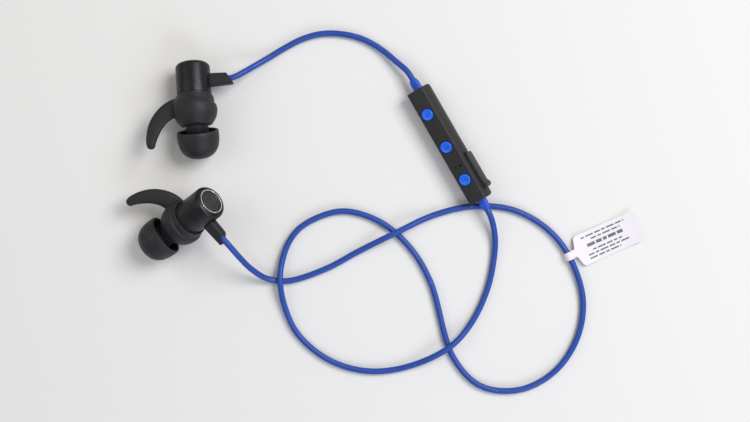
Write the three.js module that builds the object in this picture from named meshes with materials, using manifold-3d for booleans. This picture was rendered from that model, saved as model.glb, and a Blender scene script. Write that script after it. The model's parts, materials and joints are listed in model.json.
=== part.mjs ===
// Neckband sports earphones: two metal earbuds with silicone tips and wings, joined by one cord that lies in loops
// and carries an in-line remote. Millimetres, +Z up, the surface it lies on is Z = 0.
import * as THREE from "three";
import { mergeVertices } from "three/addons/utils/BufferGeometryUtils.js";
import Module from "manifold-3d";

// ---------- driving dimensions ----------
const GAP = 0.1; // between pieces that touch
const FINE = 28; // segments round a large piece
const SMALL = 16; // segments round a small piece

// An earbud's own frame: origin at the bend, +Y towards the ear, +X along the cable arm.
const BUD = {
  barrelRadius: 5.95,
  barrelWall: 0.85,
  rearY: -16.5,
  shoulder: 1.25,
  frontY: -5,
  nozzleBend: 25,
  nozzleRadius: 2.75,
  nozzleEnd: 11.5,
  neckRadius: 3.9,
  neckEnd: 7.7,
  cavityRadius: 4.4,
};
const TIP = {
  rim: 7.4,
  end: 17.2,
  radius: 7.25,
  mouth: 2.1,
  stemOuter: 3.8,
  stemInner: 2.9,
  skirt: 0.75,
};
const WING = { outer: 7.65, inner: 6.15, rearY: -4.4, mouth: 4.5, neckRoom: 4.2, turn: 20, finThickness: 2.4 };
const ARM = {
  y: -10.1,
  width: 4.2,
  depth: 3.3,
  capReach: 11.5,
  tipReach: 13.9,
  boreRadius: 1.4,
  boreDepth: 2,
};
// Where each earbud's bend stands, which way it points, and how far its flexible arm and fin lean.
const RIGHT_BUD = {
  name: "right",
  at: [-40.1, 17.6, 9.3],
  heading: -84.9,
  rise: 13,
  side: 1,
  armLean: 0,
  finTilt: 12,
};
const LEFT_BUD = {
  name: "left",
  at: [-44.3, -21.3, 9.35],
  heading: -146,
  rise: -37,
  side: -1,
  armLean: 10,
  finTilt: 36,
};

// The remote's own frame: origin mid-length, +X along it, +Y across, +Z out of the button face.
const POD = {
  at: [47.7, 5.9, 4.38],
  heading: -60.1,
  roll: 29,
  length: 44,
  faceHalf: 3.2,
  faceZ: 3.8,
  bellyRadius: 4.2,
  bellyZ: -0.2,
  splitZ: 2,
  flank: 16.6,
  wall: 0.8,
};
const BUTTONS = [
  ["volume_up", -12.65],
  ["play", 0.3],
  ["volume_down", 13.2],
];
const BUTTON_RADIUS = 2.05;
const BUTTON_TOP = 4.3;
const BUTTON_BASE = 2.5;
const BUTTON_LIP = 0.2;
const HOLES_X = 8.1; // microphone and status light
const HOLES_Y = 1;
const DOOR = { x0: 5.3, x1: 19.2, y0: 3.75, thickness: 0.9, z0: -2.4, z1: 1.8, tab: 1.9 };
const PORT = { x: 11.5, z: -0.95, width: 7.8, height: 2.3 };
const TAG = { at: [89.4, -33, 1.6], turn: 24 };
const RELIEF = { side: 2.8, length: 3, neck: 2 };
const BOARD_TOP = 1;

const CORD_RADIUS = 1.05;
const LIE = 1.2; // height of the cord's middle where it lies on the surface
const OVER = 3.35; // and where it passes over itself
const ORIGIN_SHIFT = [0.81, -0.16]; // puts the origin under the middle of the earbuds and remote

// ---------- materials ----------
function finish(colour, roughness, metalness = 0) {
  return new THREE.MeshStandardMaterial({ color: colour, roughness, metalness });
}
const anodised = finish(0x2b2b30, 0.35, 0.9);
const bright = finish(0xd8dade, 0.18, 1);
const housing = finish(0x312f33, 0.55);
const silicone = finish(0x24242b, 0.8);
const blueCord = finish(0x2148a5, 0.5);
const blueRelief = finish(0x1d52cd, 0.5);
const blueButton = finish(0x176df4, 0.4);
const paper = finish(0xebe4eb, 0.8);
const board = finish(0x14532d, 0.6);
const steel = finish(0xb9bcc0, 0.3, 1);
const gold = finish(0xc9a227, 0.3, 1);
const cell = finish(0x9aa0a8, 0.4, 0.6);
const film = finish(0xcfa76a, 0.3);
const lens = finish(0xe8f0ff, 0.1);

// ---------- solids ----------
const wasm = await Module();
wasm.setup();

// A closed geometry as a solid; a solid comes back as it is.
function solid(shape) {
  if (!shape.isBufferGeometry) return shape;
  const bare = shape.clone();
  bare.deleteAttribute("normal");
  bare.deleteAttribute("uv");
  const merged = mergeVertices(bare, 1e-4);
  const vertProperties = merged.attributes.position.array;
  const triVerts = new Uint32Array(merged.index.array);
  return new wasm.Manifold(new wasm.Mesh({ numProp: 3, vertProperties, triVerts }));
}

function geometryOf(body) {
  const { vertProperties, triVerts } = body.getMesh();
  const geometry = new THREE.BufferGeometry();
  geometry.setAttribute("position", new THREE.BufferAttribute(vertProperties, 3));
  geometry.setIndex(new THREE.BufferAttribute(triVerts, 1));
  geometry.computeVertexNormals();
  return geometry;
}

// The first shape with the added ones joined on, and then the cut ones taken away.
function carve(first, cuts, adds = []) {
  let body = solid(first);
  for (const add of adds) body = body.add(solid(add));
  for (const cut of cuts) body = body.subtract(solid(cut));
  return body;
}

function common(a, b) {
  return solid(a).intersect(solid(b));
}

// A solid of revolution about Y. The profile is [radius, y] pairs; it closes on itself unless it ends on the axis.
function revolve(profile, segments = FINE) {
  const points = profile.map(([r, y]) => new THREE.Vector2(r, y));
  const onAxis = profile[0][0] === 0 && profile.at(-1)[0] === 0;
  if (!onAxis) points.push(points[0].clone());
  const area = THREE.ShapeUtils.area(points);
  return new THREE.LatheGeometry(area > 0 ? points : points.reverse(), segments);
}

// Points of an arc for a profile, from one angle to another in degrees.
function arc(cx, cy, radius, from, to, steps) {
  const curve = new THREE.EllipseCurve(
    cx,
    cy,
    radius,
    radius,
    THREE.MathUtils.degToRad(from),
    THREE.MathUtils.degToRad(to),
    to < from,
  );
  return curve.getPoints(steps).map((p) => [p.x, p.y]);
}

function rounded(width, height, radius) {
  const [x, y] = [width / 2, height / 2];
  const shape = new THREE.Shape();
  shape.moveTo(-x + radius, -y);
  shape.lineTo(x - radius, -y);
  shape.absarc(x - radius, -y + radius, radius, -Math.PI / 2, 0, false);
  shape.lineTo(x, y - radius);
  shape.absarc(x - radius, y - radius, radius, 0, Math.PI / 2, false);
  shape.lineTo(-x + radius, y);
  shape.absarc(-x + radius, y - radius, radius, Math.PI / 2, Math.PI, false);
  shape.lineTo(-x, -y + radius);
  shape.absarc(-x + radius, -y + radius, radius, Math.PI, Math.PI * 1.5, false);
  return shape;
}

function prism(shape, depth, curveSegments = 3) {
  return new THREE.ExtrudeGeometry(shape, { depth, curveSegments, bevelEnabled: false });
}

// The same prism with its outline across X: shape x becomes Y, and shape y becomes Z.
function prismAlongX(shape, x0, x1, curveSegments = 3) {
  const turn = new THREE.Matrix4().makeBasis(
    new THREE.Vector3(0, 1, 0),
    new THREE.Vector3(0, 0, 1),
    new THREE.Vector3(1, 0, 0),
  );
  return prism(shape, x1 - x0, curveSegments).applyMatrix4(turn).translate(x0, 0, 0);
}

// And across Y: shape x stays X, shape y becomes Z.
function prismAlongY(shape, y0, y1, curveSegments = 3) {
  return prism(shape, y1 - y0, curveSegments)
    .rotateX(Math.PI / 2)
    .translate(0, y1, 0);
}

function box(x0, x1, y0, y1, z0, z1) {
  const middle = [(x0 + x1) / 2, (y0 + y1) / 2, (z0 + z1) / 2];
  return new THREE.BoxGeometry(x1 - x0, y1 - y0, z1 - z0).translate(...middle);
}

function rod(radius, z0, z1, x = 0, y = 0, segments = SMALL) {
  return new THREE.CylinderGeometry(radius, radius, z1 - z0, segments)
    .rotateX(Math.PI / 2)
    .translate(x, y, (z0 + z1) / 2);
}

function piece(group, name, shape, material) {
  const mesh = new THREE.Mesh(shape.isBufferGeometry ? shape : geometryOf(shape), material);
  mesh.name = name;
  group.add(mesh);
  return mesh;
}

// ---------- earbud ----------
// A geometry revolved about Y, turned so that its axis is the nozzle's.
function alongNozzle(geometry, side) {
  return geometry.rotateX(THREE.MathUtils.degToRad(side * BUD.nozzleBend));
}

function barrelShape() {
  const outer = BUD.barrelRadius;
  const inner = outer - BUD.barrelWall;
  const rear = BUD.rearY + 0.1;
  const shoulderY = rear + BUD.shoulder;
  const shell = revolve([
    [inner, BUD.frontY - GAP],
    [outer, BUD.frontY - GAP],
    ...arc(outer - BUD.shoulder, shoulderY, BUD.shoulder, 0, -90, 4),
    [inner - 0.6, rear],
    [inner - 0.6, rear + 0.5],
    [inner, shoulderY],
  ]);
  const slot = box(3, 8, ARM.y - 1.7, ARM.y + 1.7, -1.3, 1.3);
  return carve(shell, [slot]);
}

function trimRingShape() {
  const [inner, outer] = [4.05, BUD.barrelRadius - BUD.barrelWall - 0.7];
  return revolve([
    [inner, BUD.rearY + 1.3],
    [inner, BUD.rearY + 0.15],
    [inner + 0.1, BUD.rearY],
    [outer - 0.1, BUD.rearY],
    [outer, BUD.rearY + 0.15],
    [outer, BUD.rearY + 1.3],
  ]);
}

function backCapShape() {
  const face = BUD.rearY + 0.15;
  return revolve([
    [0, face],
    [3.8, face],
    [3.95, face + 0.15],
    [3.95, face + 1.3],
    [4.7, face + 1.3],
    [4.7, face + 2],
    [0, face + 2],
  ]);
}

// The front housing: a short collar, a round nose and the nozzle, which leans off the barrel's axis.
function frontHousingShape(side) {
  const radius = BUD.barrelRadius;
  const spigot = radius - BUD.barrelWall - GAP;
  const body = revolve([
    [0, BUD.frontY - 1.5],
    [spigot, BUD.frontY - 1.5],
    [spigot, BUD.frontY],
    [radius, BUD.frontY],
    ...arc(0, 0, radius, 0, 90, 8).slice(0, -1),
    [0, radius],
  ]);
  const nozzle = revolve(
    [
      [0, 3],
      [BUD.neckRadius, 3],
      [BUD.neckRadius, BUD.neckEnd],
      [BUD.nozzleRadius, BUD.neckEnd],
      [BUD.nozzleRadius, BUD.nozzleEnd - 0.3],
      [BUD.nozzleRadius - 0.3, BUD.nozzleEnd],
      [0, BUD.nozzleEnd],
    ],
    SMALL,
  );
  const cavity = revolve([
    [0, BUD.frontY - 3],
    [BUD.cavityRadius, BUD.frontY - 3],
    [BUD.cavityRadius, 0],
    [2, 3],
    [0, 3],
  ]);
  const bore = revolve([[0, 1], [1.8, 1], [1.8, 10.9], [2.2, 10.9], [2.2, 13], [0, 13]], SMALL);
  return carve(body, [cavity, alongNozzle(bore, side)], [alongNozzle(nozzle, side)]);
}

function driverFrameShape() {
  return revolve([
    [1.2, -4.9],
    [4.2, -4.9],
    [4.2, -1.2],
    [3.7, -1.2],
    [3.7, -2],
    [2.9, -4.3],
    [1.2, -4.3],
  ]);
}

function magnetShape() {
  return revolve([[0, -4.2], [2.3, -4.2], [2.3, -2.6], [0, -2.6]], SMALL);
}

function diaphragmShape() {
  return revolve([[0, -1.7], [2, -1.95], [3.55, -1.8], [3.55, -1.6], [2, -1.75], [0, -1.5]], SMALL);
}

function nozzleMeshShape(side) {
  return alongNozzle(revolve([[0, 11], [2.1, 11], [2.1, 11.2], [0, 11.35]], SMALL), side);
}

// A dome on a stem, with a hollow skirt behind it.
function earTipShape(side) {
  const dome = new THREE.CubicBezierCurve(
    new THREE.Vector2(TIP.radius, TIP.rim + 1.8),
    new THREE.Vector2(TIP.radius, TIP.rim + 6.4),
    new THREE.Vector2(TIP.mouth + 3.4, TIP.end - 0.9),
    new THREE.Vector2(TIP.mouth + 0.9, TIP.end),
  );
  const inside = new THREE.CubicBezierCurve(
    new THREE.Vector2(TIP.stemOuter, TIP.rim + 7.2),
    new THREE.Vector2(TIP.stemOuter + 1.6, TIP.rim + 6.9),
    new THREE.Vector2(TIP.radius - TIP.skirt, TIP.rim + 5),
    new THREE.Vector2(TIP.radius - TIP.skirt, TIP.rim + 1.8),
  );
  const pair = (p) => [p.x, p.y];
  const profile = [
    [TIP.mouth, TIP.end - 0.3],
    [TIP.mouth, BUD.nozzleEnd + 0.4],
    [TIP.stemInner, BUD.nozzleEnd + 0.2],
    [TIP.stemInner, TIP.rim + 0.8],
    [TIP.stemOuter, TIP.rim + 0.8],
    ...inside.getPoints(5).map(pair),
    [TIP.radius - TIP.skirt - 0.1, TIP.rim],
    [TIP.radius - 0.2, TIP.rim],
    ...dome.getPoints(7).map(pair),
    [TIP.mouth + 0.2, TIP.end],
  ];
  return alongNozzle(revolve(profile), side);
}

// A sleeve round the nose with a curved fin on the side away from the cable arm.
function earWingShape(side, finTilt) {
  const { outer, inner, rearY, mouth } = WING;
  const frontY = Math.sqrt(outer ** 2 - mouth ** 2);
  const start = THREE.MathUtils.radToDeg(Math.asin(rearY / outer));
  const end = THREE.MathUtils.radToDeg(Math.acos(mouth / outer));
  const sleeve = revolve([[0, rearY], ...arc(0, 0, outer, start, end, 7), [0, frontY]]);
  const fin = new THREE.Shape();
  fin.moveTo(-5.2, -4.5);
  fin.bezierCurveTo(-10, -4.5, -15.4, 0, -17, 5.4);
  fin.bezierCurveTo(-17.7, 8, -18, 9.8, -17.6, 11.2);
  fin.bezierCurveTo(-17.1, 12.9, -15.3, 12.4, -14.6, 10.8);
  fin.bezierCurveTo(-13.2, 7.6, -11.4, 3.9, -7.6, 2.4);
  fin.lineTo(-5.2, 2.4);
  const bevel = 0.7;
  const blade = new THREE.ExtrudeGeometry(fin, {
    depth: WING.finThickness - 2 * bevel,
    curveSegments: 5,
    bevelThickness: bevel,
    bevelSize: bevel,
    bevelOffset: -bevel,
    bevelSegments: 2,
  })
    .translate(0, 0, bevel - WING.finThickness / 2)
    .rotateX(THREE.MathUtils.degToRad(side * finTilt));
  const dome = arc(0, 0, inner, 0, 90, 6).slice(0, -1);
  const room = revolve([[0, rearY - 1], [inner, rearY - 1], ...dome, [0, inner]]);
  // The opening is drawn out both ways round the bud's axis, so the sleeve can turn about the bent neck.
  const openings = [-1, -0.5, 0, 0.5, 1].map((share) => {
    const opening = revolve([[0, 1], [WING.neckRoom, 1], [WING.neckRoom, 12], [0, 12]], 24);
    return alongNozzle(opening, side).rotateY(THREE.MathUtils.degToRad(WING.turn * share));
  });
  return carve(sleeve, [room, ...openings], [blade]);
}

// The rubber arm that the cord comes out of: its end is cut aslant and it leans a little with the cord.
function cableArmShape(lean) {
  const { y, width, depth, capReach, tipReach } = ARM;
  const bar = prismAlongX(rounded(width, depth, 1), 4.8, 15, 4).translate(0, y, 0);
  const outline = new THREE.Shape();
  outline.moveTo(4, y - width);
  outline.lineTo(capReach - 0.5 * (tipReach - capReach), y - width);
  outline.lineTo(tipReach + 0.5 * (tipReach - capReach), y + width);
  outline.lineTo(4, y + width);
  const slantCut = prism(outline, 2 * depth).translate(0, 0, -depth);
  const reach = (capReach + tipReach) / 2;
  const bore = new THREE.CylinderGeometry(ARM.boreRadius, ARM.boreRadius, 6, SMALL)
    .rotateZ(Math.PI / 2)
    .translate(reach - ARM.boreDepth + 3, y, 0);
  for (const geometry of [bar, slantCut, bore]) {
    geometry
      .translate(-BUD.barrelRadius, -y, 0)
      .rotateZ(THREE.MathUtils.degToRad(-lean))
      .translate(BUD.barrelRadius, y, 0);
  }
  const outside = BUD.barrelRadius + GAP;
  const barrelRoom = revolve([[0, -20], [outside, -20], [outside, 0], [0, 0]]);
  const tenon = box(4.5, 7, y - 1.55, y + 1.55, -1.15, 1.15);
  return carve(carve(common(bar, slantCut), [barrelRoom, bore]), [], [tenon]);
}

function placeBud({ at, heading, rise }) {
  const turn = THREE.MathUtils.degToRad(heading);
  const lift = THREE.MathUtils.degToRad(rise);
  const forward = new THREE.Vector3(
    Math.cos(lift) * Math.cos(turn),
    Math.cos(lift) * Math.sin(turn),
    Math.sin(lift),
  );
  const arm = new THREE.Vector3(-Math.sin(turn), Math.cos(turn), 0);
  const group = new THREE.Group();
  group.position.set(...at);
  const basis = new THREE.Matrix4().makeBasis(arm, forward, arm.clone().cross(forward));
  group.quaternion.setFromRotationMatrix(basis);
  return group;
}

function makeBud(bud) {
  const group = placeBud(bud);
  const add = (name, geometry, material) => piece(group, `${bud.name}_${name}`, geometry, material);
  add("barrel", barrelShape(), anodised);
  add("trim_ring", trimRingShape(), bright);
  add("back_cap", backCapShape(), anodised);
  add("front_housing", frontHousingShape(bud.side), housing);
  add("driver_frame", driverFrameShape(), steel);
  add("driver_magnet", magnetShape(), steel);
  add("driver_diaphragm", diaphragmShape(), film);
  add("nozzle_mesh", nozzleMeshShape(bud.side), steel);
  add("ear_tip", earTipShape(bud.side), silicone);
  add("ear_wing", earWingShape(bud.side, bud.finTilt), silicone);
  add("cable_arm", cableArmShape(bud.armLean), silicone);
  return group;
}

// ---------- remote ----------
// The remote's section, pulled in by inset: a flat button face, straight flanks and a round belly.
function podSection(inset) {
  const radius = POD.bellyRadius - inset;
  const flank = THREE.MathUtils.degToRad(POD.flank);
  const faceHalf = POD.faceHalf + inset * (Math.tan(flank) - 1 / Math.cos(flank));
  const shape = new THREE.Shape();
  shape.moveTo(faceHalf, POD.faceZ - inset);
  shape.lineTo(-faceHalf, POD.faceZ - inset);
  shape.absarc(0, POD.bellyZ, radius, Math.PI - flank, 2 * Math.PI + flank, false);
  return shape;
}

// Its side view: square at the button face, rounded under at both ends.
function podProfile(inset) {
  const half = POD.length / 2 - inset;
  const bottom = POD.bellyZ - POD.bellyRadius + inset;
  const [endRadius, belly] = [2.6, 5 - inset];
  const shape = new THREE.Shape();
  shape.moveTo(-half, POD.faceZ - inset);
  shape.lineTo(-half, bottom + belly);
  shape.absellipse(-half + endRadius, bottom + belly, endRadius, belly, Math.PI, Math.PI * 1.5, false, 0);
  shape.absellipse(half - endRadius, bottom + belly, endRadius, belly, Math.PI * 1.5, Math.PI * 2, false, 0);
  shape.lineTo(half, POD.faceZ - inset);
  return shape;
}

function podBody(inset) {
  const half = POD.length / 2 - inset;
  const alongX = prismAlongX(podSection(inset), -half, half, 14);
  return common(alongX, prismAlongY(podProfile(inset), -6, 6, 6));
}

function podShells() {
  const far = POD.length;
  const hollow = podBody(POD.wall);
  const above = box(-far, far, -9, 9, POD.splitZ + GAP / 2, 9);
  const below = box(-far, far, -9, 9, -9, POD.splitZ - GAP / 2);
  const reliefHole = box(-far, far, -RELIEF.neck / 2 - GAP, RELIEF.neck / 2 + GAP, -1.1, 1.1);
  const buttonHoles = BUTTONS.map(([, x]) => rod(BUTTON_RADIUS + 0.15, 2, 6, x, 0, 28));
  const soundHoles = [HOLES_Y, -HOLES_Y].map((y) => rod(0.42, 2, 6, HOLES_X, y, 12));
  const doorSeat = box(DOOR.x0 - 0.4, DOOR.x1 + 0.4, DOOR.y0 - GAP, 6, DOOR.z0 - 0.3, DOOR.z1 + 0.15);
  const [windowX, windowZ] = [PORT.width / 2 + 0.2, PORT.height / 2 + 0.2];
  const portWindow = box(PORT.x - windowX, PORT.x + windowX, 2, 6, PORT.z - windowZ, PORT.z + windowZ);
  return {
    top: carve(common(podBody(0), above), [hollow, ...buttonHoles, ...soundHoles]),
    bottom: carve(common(podBody(0), below), [hollow, reliefHole, doorSeat, portWindow]),
  };
}

// A cap with a domed top and a flange that keeps it in its hole.
function buttonShape(x) {
  return revolve([
    [0, BUTTON_BASE],
    [BUTTON_RADIUS + BUTTON_LIP, BUTTON_BASE],
    [BUTTON_RADIUS + BUTTON_LIP, BUTTON_BASE + 0.35],
    [BUTTON_RADIUS, BUTTON_BASE + 0.35],
    [BUTTON_RADIUS, BUTTON_TOP - 0.25],
    [BUTTON_RADIUS - 0.25, BUTTON_TOP],
    [BUTTON_RADIUS - 0.6, BUTTON_TOP - 0.05],
    [0, BUTTON_TOP - 0.1],
  ], 24)
    .rotateX(Math.PI / 2)
    .translate(x, 0, 0);
}

function makeSwitch(group, name, x) {
  const base = rounded(4, 4, 0.4);
  base.holes.push(new THREE.Path().absarc(0, 0, 0.95, 0, 2 * Math.PI, true));
  piece(group, `${name}_switch_base`, prism(base, 0.75).translate(x, 0, BOARD_TOP + GAP), steel);
  piece(group, `${name}_switch_plunger`, rod(0.75, BOARD_TOP + 0.45, BUTTON_BASE - GAP, x, 0, 16), board);
  piece(group, `${name}_button`, buttonShape(x), blueButton);
}

// The rubber door: a strip with a rolled hinge end, a plug that fills the port's mouth, and a pull tab.
function portDoorShape() {
  const { x0, x1, y0, thickness, z0, z1, tab } = DOOR;
  const half = thickness / 2;
  const strip = new THREE.Shape();
  strip.absarc(x0 + half, y0 + half, half, Math.PI / 2, Math.PI * 1.5, false);
  strip.lineTo(x1, y0);
  strip.lineTo(x1, y0 + thickness + 0.35);
  strip.quadraticCurveTo(x1 - tab / 2, y0 + thickness + 0.6, x1 - tab, y0 + thickness + 0.35);
  strip.lineTo(x1 - tab - 0.4, y0 + thickness);
  const plate = prism(strip, z1 - z0, 5).translate(0, 0, z0);
  const facing = prismAlongY(rounded(x1 - x0, z1 - z0, 0.9), y0 - 1, y0 + 3, 4).translate(
    (x0 + x1) / 2,
    0,
    (z0 + z1) / 2,
  );
  const plug = prismAlongY(rounded(6.2, 1.3, 0.6), y0 - 1.3, y0 + 0.3).translate(PORT.x, 0, PORT.z);
  return carve(common(plate, facing), [], [plug]);
}

function usbReceptacleShape() {
  const { x, z, width, height } = PORT;
  const shell = prismAlongY(rounded(width, height, 0.6), -1.2, 3.6).translate(x, 0, z);
  const mouth = prismAlongY(rounded(width - 0.6, height - 0.5, 0.4), -0.8, 5).translate(x, 0, z);
  return carve(shell, [mouth]);
}

function reliefShape(end) {
  const out = POD.length / 2 + GAP;
  const bar = prismAlongX(rounded(RELIEF.side, RELIEF.side, 0.5), out, out + RELIEF.length, 3);
  const neck = prismAlongX(rounded(RELIEF.neck, RELIEF.neck, 0.3), out - 1.3, out + 0.5, 2);
  const keeper = prismAlongX(rounded(2.8, 2.8, 0.3), out - 2, out - 1.2 - GAP, 2);
  return geometryOf(carve(bar, [], [neck, keeper])).rotateZ(end > 0 ? 0 : Math.PI);
}

function makePod() {
  const group = new THREE.Group();
  const add = (name, geometry, material) => piece(group, name, geometry, material);
  group.position.set(...POD.at);
  group.rotation.set(THREE.MathUtils.degToRad(POD.roll), 0, THREE.MathUtils.degToRad(POD.heading), "ZYX");
  const shells = podShells();
  add("remote_top_shell", shells.top, housing);
  add("remote_bottom_shell", shells.bottom, housing);
  add("circuit_board", box(-19, 19.4, -2.5, 2.5, BOARD_TOP - 0.7, BOARD_TOP - 0.02), board);
  add("bluetooth_chip", box(-8.2, -4.2, -1.9, 1.9, BOARD_TOP + GAP, BOARD_TOP + 0.9), housing);
  add("battery_cell", prismAlongX(rounded(4.2, 2.6, 0.8), -18, 4, 4).translate(0, 0, -1.6), cell);
  for (const [name, x] of BUTTONS) makeSwitch(group, name, x);
  add("microphone", box(HOLES_X - 1.1, HOLES_X + 1.1, 0.25, 1.85, BOARD_TOP + GAP, 2), gold);
  const gasket = new THREE.Shape().absarc(HOLES_X, HOLES_Y, 0.85, 0, 2 * Math.PI, false);
  gasket.holes.push(new THREE.Path().absarc(HOLES_X, HOLES_Y, 0.42, 0, 2 * Math.PI, true));
  add("microphone_gasket", prism(gasket, 0.8, 8).translate(0, 0, 2.1), silicone);
  add("status_led", box(HOLES_X - 0.5, HOLES_X + 0.5, -1.3, -0.7, BOARD_TOP + GAP, 1.6), lens);
  add("light_pipe", rod(0.32, 1.7, POD.faceZ - 0.02, HOLES_X, -HOLES_Y, 12), lens);
  add("usb_receptacle", usbReceptacleShape(), steel);
  add("usb_tongue", box(PORT.x - 2.6, PORT.x + 2.6, -0.7, 1.8, PORT.z - 0.25, PORT.z + 0.25), housing);
  add("port_door", portDoorShape(), housing);
  add("upper_strain_relief", reliefShape(-1), blueRelief);
  add("lower_strain_relief", reliefShape(1), blueRelief);
  return group;
}

// ---------- cords and tag ----------
// From the right earbud's arm to the remote, in one low arch.
const UPPER_ROUTE = [
  [-30.02, 28.38, 7.03],
  [-28.6, 28.58, 7.03],
  [-26.9, 29.05, 6.9],
  [-24.2, 30.5, 6],
  [-20, 33.3, 3.4],
  [-15.4, 36.2, 1.7],
  [-9.4, 39.9, LIE],
  [-3.2, 43, LIE],
  [3.6, 44.7, LIE],
  [10.6, 44.5, LIE],
  [17.3, 42.8, LIE],
  [23.5, 39.4, 1.5],
  [28.8, 35, 2.7],
  [33, 31.1, 4],
  [35, 28, 4.4],
];

// From the remote's lower end, through two loops, to the left earbud's arm.
const LOWER_ROUTE = [
  [60.4, -16.2, 4.4],
  [61.9, -19.3, 4.2],
  [63.2, -24, 2.8],
  [63.6, -30, 1.4],
  [61.2, -43.7, LIE],
  [55.3, -56.4, 1.5],
  [47.4, -64.8, OVER],
  [32.6, -71.7, LIE],
  [18.8, -73.1, LIE],
  [5.5, -69.2, LIE],
  [-5.2, -60.3, LIE],
  [-9.8, -50.5, 1.8],
  [-11.3, -41.8, OVER],
  [-10.7, -35, 1.9],
  [-8, -27.5, LIE],
  [-3, -22, LIE],
  [9.9, -17.3, LIE],
  [23.2, -20.9, LIE],
  [33.8, -29.9, LIE],
  [41, -41.8, LIE],
  [49.1, -68.5, LIE],
  [58.7, -78.4, LIE],
  [72.3, -79.6, LIE],
  [84.5, -73.2, LIE],
  [92.3, -61.6, LIE],
  [94.3, -47.9, LIE],
  [89.4, -33, 1.6],
  [81.8, -23.5, LIE],
  [69.7, -16.8, LIE],
  [55.8, -15.6, LIE],
  [42.2, -18.7, 1.3],
  [28.6, -25, OVER],
  [16, -31.3, 1.3],
  [4.8, -37.3, LIE],
  [-8.5, -41.6, 1.3],
  [-15.5, -40.9, 2.6],
  [-20.8, -37.4, 7.2],
  [-24.6, -33, 12.8],
  [-27.8, -28.9, 16.1],
  [-30.92, -25.45, 15.96],
];

function routeCurve(points) {
  return new THREE.CatmullRomCurve3(points.map((p) => new THREE.Vector3(...p)), false, "centripetal");
}

function cordShape(points, steps) {
  const section = new THREE.Shape();
  for (let i = 0; i < 8; i++) {
    const angle = ((i + 0.5) * Math.PI) / 4;
    const corner = [CORD_RADIUS * Math.cos(angle), CORD_RADIUS * Math.sin(angle)];
    if (i) section.lineTo(...corner);
    else section.moveTo(...corner);
  }
  const extrudePath = routeCurve(points);
  return new THREE.ExtrudeGeometry(section, { steps, extrudePath, bevelEnabled: false });
}

// A folded paper label: a loop round the cord, a narrow neck and a flat leaf.
function tagShape() {
  const [loop, bandWidth, leafLength, leafWidth, thickness] = [1.55, 2.8, 26.4, 11, 0.3];
  const ring = new THREE.Shape().absarc(0, 0, loop, 0, 2 * Math.PI, false);
  ring.holes.push(new THREE.Path().absarc(0, 0, loop - thickness, 0, 2 * Math.PI, true));
  const band = prismAlongY(ring, -bandWidth / 2, bandWidth / 2, 12);
  const leaf = new THREE.Shape();
  const start = loop + 1.9;
  leaf.moveTo(loop - 0.2, -bandWidth / 2);
  leaf.lineTo(start - 0.8, -bandWidth / 2);
  leaf.lineTo(start, -leafWidth / 2 + 1.5);
  leaf.quadraticCurveTo(start, -leafWidth / 2, start + 1.5, -leafWidth / 2);
  leaf.lineTo(leafLength - 1.5, -leafWidth / 2);
  leaf.quadraticCurveTo(leafLength, -leafWidth / 2, leafLength, -leafWidth / 2 + 1.5);
  leaf.lineTo(leafLength, leafWidth / 2 - 1.5);
  leaf.quadraticCurveTo(leafLength, leafWidth / 2, leafLength - 1.5, leafWidth / 2);
  leaf.lineTo(start + 1.5, leafWidth / 2);
  leaf.quadraticCurveTo(start, leafWidth / 2, start, leafWidth / 2 - 1.5);
  leaf.lineTo(start - 0.8, bandWidth / 2);
  leaf.lineTo(loop - 0.2, bandWidth / 2);
  const sheet = prism(leaf, thickness, 3).translate(0, 0, -thickness / 2);
  return carve(band, [], [sheet]);
}

function makeCords() {
  const group = new THREE.Group();
  piece(group, "upper_cord", cordShape(UPPER_ROUTE, 14), blueCord);
  piece(group, "lower_cord", cordShape(LOWER_ROUTE, 72), blueCord);
  const tag = piece(group, "cord_tag", tagShape(), paper);
  tag.position.set(...TAG.at);
  tag.rotation.z = THREE.MathUtils.degToRad(TAG.turn);
  return group;
}

const earphones = new THREE.Group();
earphones.position.set(...ORIGIN_SHIFT, 0);
earphones.add(makeBud(RIGHT_BUD), makeBud(LEFT_BUD), makePod(), makeCords());

export default earphones;
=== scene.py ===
"""The looks of the neckband earphones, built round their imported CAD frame.

Shapes are modelled in millimetres in the frame of the part they belong to, and set down in metres in the frame
of the whole.
"""

import json
import math

import bmesh
import bpy
from mathutils import Matrix, Vector


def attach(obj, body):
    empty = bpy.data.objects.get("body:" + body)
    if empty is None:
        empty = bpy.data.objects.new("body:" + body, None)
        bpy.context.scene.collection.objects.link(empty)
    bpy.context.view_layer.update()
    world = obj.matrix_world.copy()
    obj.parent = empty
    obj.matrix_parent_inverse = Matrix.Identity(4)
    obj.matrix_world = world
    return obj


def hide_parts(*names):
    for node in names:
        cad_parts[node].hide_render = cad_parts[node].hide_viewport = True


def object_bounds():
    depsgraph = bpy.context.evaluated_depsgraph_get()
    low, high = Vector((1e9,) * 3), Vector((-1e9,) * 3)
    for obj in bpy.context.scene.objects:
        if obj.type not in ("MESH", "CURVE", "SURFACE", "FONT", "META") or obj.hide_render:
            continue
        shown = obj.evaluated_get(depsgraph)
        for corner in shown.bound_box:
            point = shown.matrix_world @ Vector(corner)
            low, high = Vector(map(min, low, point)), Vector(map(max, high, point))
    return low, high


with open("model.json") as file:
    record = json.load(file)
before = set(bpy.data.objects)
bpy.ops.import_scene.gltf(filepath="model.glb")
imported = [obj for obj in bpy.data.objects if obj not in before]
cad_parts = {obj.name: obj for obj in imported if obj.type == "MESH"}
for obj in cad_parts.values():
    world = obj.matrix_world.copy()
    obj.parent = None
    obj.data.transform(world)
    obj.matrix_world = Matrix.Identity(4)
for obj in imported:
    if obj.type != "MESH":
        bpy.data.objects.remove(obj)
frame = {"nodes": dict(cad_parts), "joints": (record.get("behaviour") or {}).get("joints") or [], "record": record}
cad_low, cad_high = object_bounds()

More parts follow.
